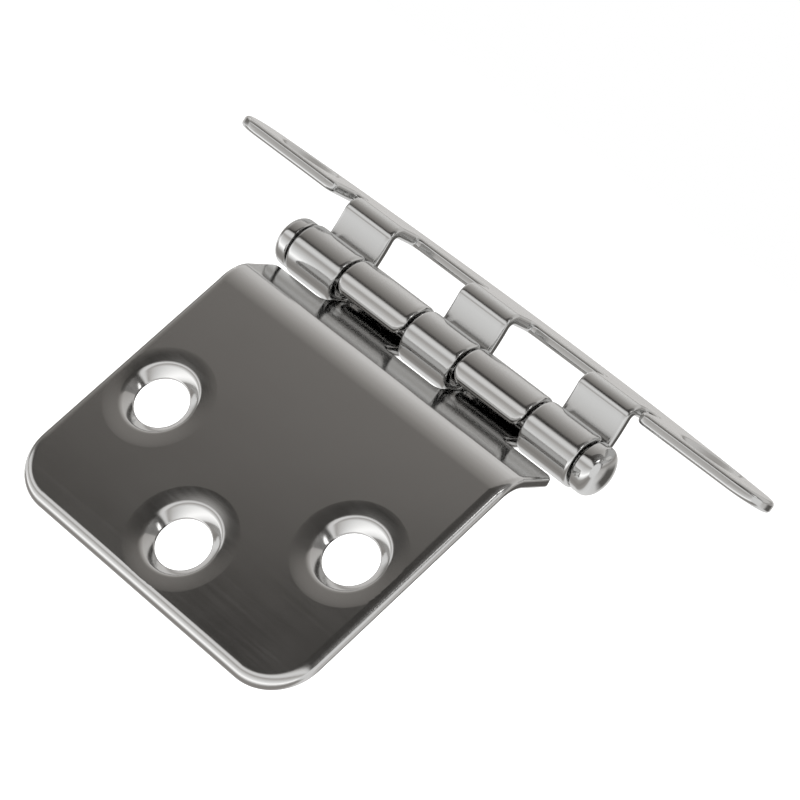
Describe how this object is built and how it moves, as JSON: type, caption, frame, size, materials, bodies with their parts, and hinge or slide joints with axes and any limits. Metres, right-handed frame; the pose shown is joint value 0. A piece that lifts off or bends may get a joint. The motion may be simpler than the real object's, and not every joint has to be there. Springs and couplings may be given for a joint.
{
  "type": "offset surface hinge",
  "caption": "Polished stainless surface hinge: a bowed strip leaf and a square leaf, both stood off from a knuckled barrel and open at an obtuse angle.",
  "frame": {"origin": "on the frame leaf's seating face, at mid-length, 8.4 mm from the pin axis along the leaf", "axes": "+X along the pin, +Y from the barrel across the frame leaf, +Z out of the frame leaf's screw side"},
  "size_m": [0.0706, 0.0366, 0.0386],
  "materials": {
    "stainless_frame_leaf": "bright polished stainless sheet",
    "stainless_door_leaf": "bright polished stainless sheet",
    "stainless_pin": "bright polished stainless wire with domed ends"
  },
  "bodies": {
    "frame": {"frame_leaf": "stainless_frame_leaf", "hinge_pin": "stainless_pin"},
    "door": {"door_leaf": "stainless_door_leaf"}
  },
  "joints": [
    {"name": "door_swing", "type": "hinge", "parent": "frame", "child": "door", "pos_m": [0, -0.0084, -0.0059], "axis": [1, 0, 0], "range_deg": [-63, 117]}
  ]
}
